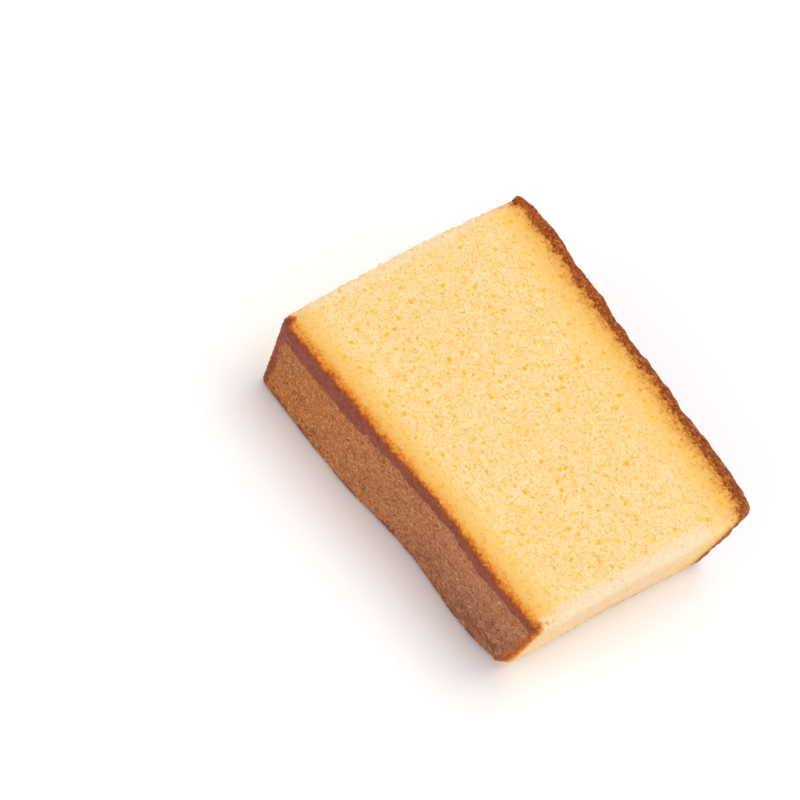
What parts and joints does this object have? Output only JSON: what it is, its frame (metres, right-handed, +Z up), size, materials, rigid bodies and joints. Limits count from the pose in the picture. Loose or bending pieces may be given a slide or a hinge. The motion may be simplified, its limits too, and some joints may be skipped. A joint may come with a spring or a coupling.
{
  "type": "castella sponge cake slice",
  "caption": "Thick slice of castella sponge cake with a matte peeled crust on one long side and a thin wavy brown crust on the other.",
  "frame": {"origin": "middle of the slice's box at its base, on the level lower cut face that it rests on", "axes": "+X along the slice towards its narrower end, +Y across it from the matte peeled crust to the thin wavy crust, +Z up through the upper cut face"},
  "size_m": [0.0862, 0.0696, 0.031],
  "materials": {
    "sponge": "soft matte sponge crumb with browned crusts"
  },
  "bodies": {
    "root": {"castella_slice": "sponge"}
  },
  "joints": []
}
